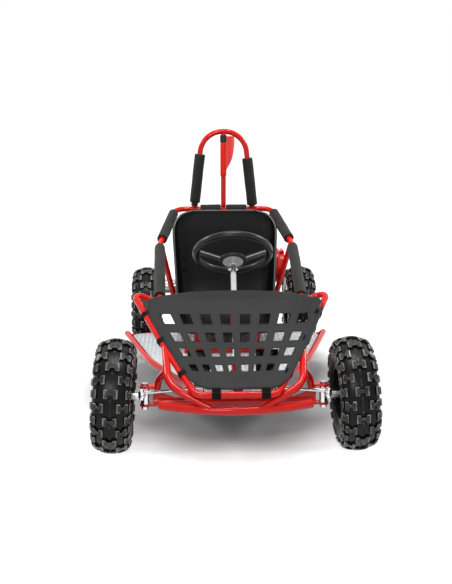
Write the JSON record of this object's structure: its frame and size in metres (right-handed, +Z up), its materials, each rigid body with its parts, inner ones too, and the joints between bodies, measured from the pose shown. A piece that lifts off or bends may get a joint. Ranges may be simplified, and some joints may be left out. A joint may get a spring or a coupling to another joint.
{
  "type": "kart chassis",
  "caption": "Single-seat off-road kart: red tube frame with padded cage and hoop, netted nose, bucket seat, steered front wheels and driven rear axle.",
  "frame": {"origin": "on the ground under the middle of the kart, half way between the axles", "axes": "+Z up, +X to the driver's left as seen from the front, towards the image's right, and +Y from the nose to the engine, so the kart drives along -Y"},
  "size_m": [0.8238, 1.3308, 0.866],
  "materials": {
    "frame_paint": "gloss red powder coat",
    "foam": "matt dark grey foam sleeve",
    "net_cloth": "dark grey woven vinyl",
    "strap": "black hook-and-loop webbing",
    "flag_cloth": "thin red nylon",
    "black_plastic": "satin black moulding",
    "chequer_plate": "bright chequer plate",
    "zinc_steel": "zinc plated",
    "tyre_rubber": "matt black rubber",
    "black_steel": "satin black paint",
    "cast_alloy": "as cast",
    "red_cover": "gloss red paint",
    "chain_steel": "oiled steel",
    "grip": "black moulded grip"
  },
  "bodies": {
    "chassis": {"main_rails": "frame_paint", "cross_tubes": "frame_paint", "front_axle_beam": "frame_paint", "nose_loop": "frame_paint", "nose_supports": "frame_paint", "front_bumper": "frame_paint", "cage_tube": "frame_paint", "cage_struts": "frame_paint", "rear_bumper": "frame_paint", "floor_pan": "chequer_plate", "roll_hoop": "frame_paint", "hoop_sockets": "black_plastic", "hoop_post": "frame_paint", "post_cap": "black_plastic", "safety_flag": "flag_cloth", "hoop_pads": "foam", "arm_pads": "foam", "crossbar_pad": "foam", "nose_net": "net_cloth", "net_straps": "strap", "column_supports": "frame_paint", "kingpin_bolts": "zinc_steel", "pedal_brackets": "frame_paint", "seat_shell": "black_plastic", "seat_brackets": "frame_paint", "seat_bolts": "black_plastic", "axle_bearings": "black_steel", "engine_cradle": "black_steel", "engine_block": "cast_alloy", "fan_housing": "red_cover", "recoil_cover": "red_cover", "fuel_tank": "red_cover", "muffler": "zinc_steel", "air_cleaner": "black_plastic", "brake_caliper": "black_steel", "drive_chain": "chain_steel"},
    "steering": {"steering_wheel": "grip", "steering_hub": "zinc_steel", "steering_shaft": "zinc_steel"},
    "left_knuckle": {"left_knuckle": "zinc_steel"},
    "right_knuckle": {"right_knuckle": "zinc_steel"},
    "left_tie_rod": {"left_tie_rod": "zinc_steel"},
    "right_tie_rod": {"right_tie_rod": "zinc_steel"},
    "left_front_wheel": {"left_front_tyre": "tyre_rubber", "left_front_rim": "black_steel", "left_wheel_bearings": "zinc_steel"},
    "right_front_wheel": {"right_front_tyre": "tyre_rubber", "right_front_rim": "black_steel", "right_wheel_bearings": "zinc_steel"},
    "rear_axle": {"rear_axle_shaft": "zinc_steel", "rear_tyres": "tyre_rubber", "rear_rims": "black_steel", "rear_hubs": "zinc_steel", "rear_sprocket": "chain_steel", "brake_disc": "zinc_steel"},
    "clutch": {"clutch_drum": "chain_steel"},
    "throttle_pedal": {"throttle_pedal": "black_steel"},
    "brake_pedal": {"brake_pedal": "black_steel"},
    "brake_lever": {"brake_lever": "zinc_steel"},
    "fuel_cap": {"fuel_cap": "black_plastic"}
  },
  "joints": [
    {"name": "steering_turn", "type": "hinge", "parent": "chassis", "child": "steering", "pos_m": [0.012, -0.08, 0.498], "axis": [0, 0.6428, 0.766], "range_deg": [-25, 25]},
    {"name": "left_steer", "type": "hinge", "parent": "chassis", "child": "left_knuckle", "pos_m": [-0.258, -0.5, 0.1645], "axis": [0, 0, 1], "range_deg": [-28.8, 28.8]},
    {"name": "right_steer", "type": "hinge", "parent": "chassis", "child": "right_knuckle", "pos_m": [0.258, -0.5, 0.1645], "axis": [0, 0, 1], "range_deg": [-28.8, 28.8]},
    {"name": "left_rod_pivot", "type": "hinge", "parent": "left_knuckle", "child": "left_tie_rod", "pos_m": [-0.26434, -0.55161, 0.1907], "axis": [0, 0, 1], "range_deg": [-28.8, 28.8]},
    {"name": "right_rod_pivot", "type": "hinge", "parent": "right_knuckle", "child": "right_tie_rod", "pos_m": [0.26434, -0.55161, 0.1907], "axis": [0, 0, 1], "range_deg": [-28.8, 28.8]},
    {"name": "left_front_spin", "type": "hinge", "parent": "left_knuckle", "child": "left_front_wheel", "pos_m": [-0.346, -0.5, 0.16562], "axis": [0.9981, 0, -0.061], "continuous": true},
    {"name": "right_front_spin", "type": "hinge", "parent": "right_knuckle", "child": "right_front_wheel", "pos_m": [0.346, -0.5, 0.16562], "axis": [0.9981, 0, 0.061], "continuous": true},
    {"name": "rear_axle_spin", "type": "hinge", "parent": "chassis", "child": "rear_axle", "pos_m": [0, 0.5, 0.165], "axis": [1, 0, 0], "continuous": true},
    {"name": "clutch_spin", "type": "hinge", "parent": "chassis", "child": "clutch", "pos_m": [-0.09, 0.52, 0.335], "axis": [1, 0, 0], "continuous": true},
    {"name": "throttle_press", "type": "hinge", "parent": "chassis", "child": "throttle_pedal", "pos_m": [-0.102, -0.415, 0.16], "axis": [1, 0, 0], "range_deg": [0, 25], "stiffness_Nm_per_rad": 3, "springref_deg": -20.05},
    {"name": "brake_press", "type": "hinge", "parent": "chassis", "child": "brake_pedal", "pos_m": [0.102, -0.415, 0.16], "axis": [1, 0, 0], "range_deg": [0, 25], "stiffness_Nm_per_rad": 4, "springref_deg": -20.05},
    {"name": "brake_lever_swing", "type": "hinge", "parent": "chassis", "child": "brake_lever", "pos_m": [0.16, 0.444, 0.176], "axis": [1, 0, 0], "range_deg": [0, 15]},
    {"name": "fuel_cap_turn", "type": "hinge", "parent": "chassis", "child": "fuel_cap", "pos_m": [0.036, 0.483, 0.4605], "axis": [0, 0, 1], "range_deg": [0, 120]}
  ],
  "couplings": [
    {"joint": "left_steer", "follows": "steering_turn", "ratio": 1.152},
    {"joint": "right_steer", "follows": "steering_turn", "ratio": 1.152},
    {"joint": "left_rod_pivot", "follows": "steering_turn", "ratio": -1.152},
    {"joint": "right_rod_pivot", "follows": "steering_turn", "ratio": -1.152},
    {"joint": "clutch_spin", "follows": "rear_axle_spin", "ratio": 4},
    {"joint": "brake_lever_swing", "follows": "brake_press", "ratio": 0.6}
  ]
}
